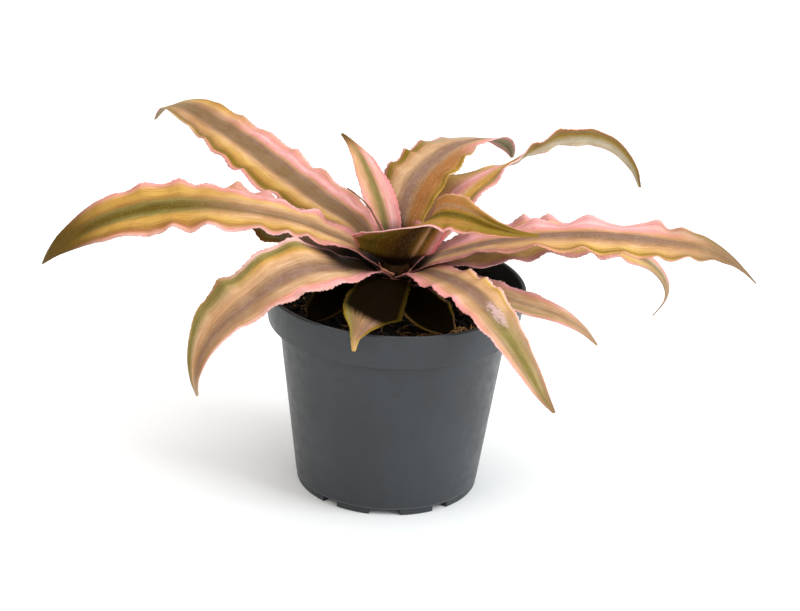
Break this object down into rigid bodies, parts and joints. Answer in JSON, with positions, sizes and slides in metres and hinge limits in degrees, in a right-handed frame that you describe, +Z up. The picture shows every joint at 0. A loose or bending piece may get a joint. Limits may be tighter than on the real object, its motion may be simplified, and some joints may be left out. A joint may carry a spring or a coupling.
{
  "type": "potted pink star cryptanthus",
  "caption": "Rosette of long, wavy, toothed leaves striped in pink, tan and olive, growing from a short stem in the soil of a round tapered nursery pot.",
  "frame": {"origin": "centre of the pot's base, on the surface that the pot stands on", "axes": "+Z up along the pot's axis, -Y to the front where two small leaves meet the rim, +X along the longest leaf to the right"},
  "size_m": [0.3235, 0.2227, 0.155],
  "materials": {
    "pot": "moulded mid-grey polypropylene, matte with a soft sheen",
    "soil": "damp dark peat compost with tan fibres",
    "stem": "short green-brown stem, covered by the leaf bases",
    "leaf": "waxy leaf with lengthwise stripes of taupe, tan, olive and pink, and silver scales beneath"
  },
  "bodies": {
    "root": {"pot": "pot", "soil": "soil", "stem": "stem", "leaf_back_left": "leaf", "leaf_left": "leaf", "leaf_left_under": "leaf", "leaf_front_left": "leaf", "leaf_front_over_rim": "leaf", "leaf_front_right": "leaf", "leaf_right_small": "leaf", "leaf_right": "leaf", "leaf_right_under": "leaf", "leaf_back_right": "leaf", "leaf_back": "leaf", "leaf_back_young": "leaf", "leaf_heart": "leaf", "leaf_front_young": "leaf", "leaf_front_low": "leaf", "leaf_left_low": "leaf", "leaf_back_low_1": "leaf", "leaf_back_low_2": "leaf", "leaf_back_low_3": "leaf"}
  },
  "joints": []
}
